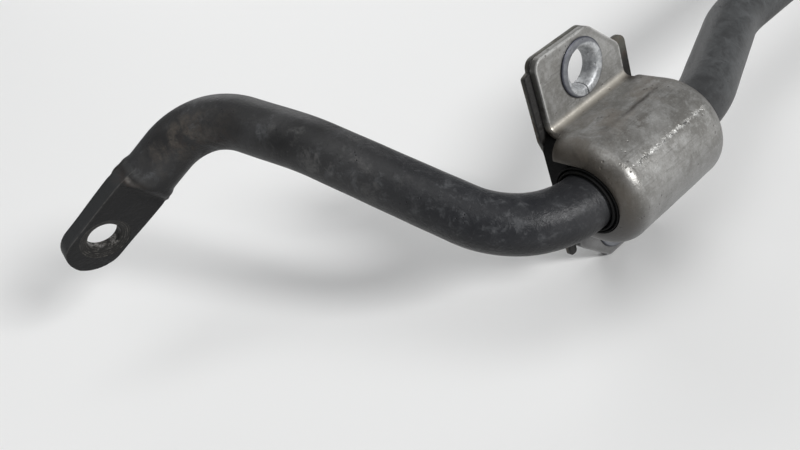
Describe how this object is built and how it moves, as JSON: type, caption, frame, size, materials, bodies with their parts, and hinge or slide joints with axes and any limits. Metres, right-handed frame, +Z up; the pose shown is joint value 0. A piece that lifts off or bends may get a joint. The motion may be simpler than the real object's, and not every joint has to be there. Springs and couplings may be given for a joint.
{
  "type": "sway bar",
  "caption": "Bent round sway bar with forged drop-link eyes, held in rubber bushes by pressed clamp brackets with a back plate and flared bolt eyelets.",
  "frame": {"origin": "centre of the four bracket bolt holes, on the plane where the back plates meet the subframe", "axes": "+X out of the mounting face, +Y along the bar to the left-hand end, +Z up"},
  "size_m": [0.1521, 0.8582, 0.0893],
  "materials": {
    "bar": "satin charcoal paint, scuffed, with rust near the eyes",
    "bush": "matt, slightly perished",
    "bracket_shell": "dulled zinc plating with scratches, pits and dirt in the fold",
    "back_plate": "dark olive-grey plating with rust at the edges",
    "eyelet": "bright zinc plating, worn at the rim"
  },
  "bodies": {
    "bar": {"bar": "bar"},
    "right_mount": {"right_bush": "bush", "right_bracket_shell": "bracket_shell", "right_back_plate": "back_plate", "right_upper_eyelet": "eyelet", "right_lower_eyelet": "eyelet"},
    "left_mount": {"left_bush": "bush", "left_bracket_shell": "bracket_shell", "left_back_plate": "back_plate", "left_upper_eyelet": "eyelet", "left_lower_eyelet": "eyelet"}
  },
  "joints": [
    {"name": "right_mount_turn", "type": "hinge", "parent": "bar", "child": "right_mount", "pos_m": [0.0175, -0.29, -0.00125], "axis": [0, 1, 0], "range_deg": [-25, 25]},
    {"name": "left_mount_turn", "type": "hinge", "parent": "bar", "child": "left_mount", "pos_m": [0.0175, 0.29, -0.00125], "axis": [0, 1, 0], "range_deg": [-25, 25]}
  ]
}
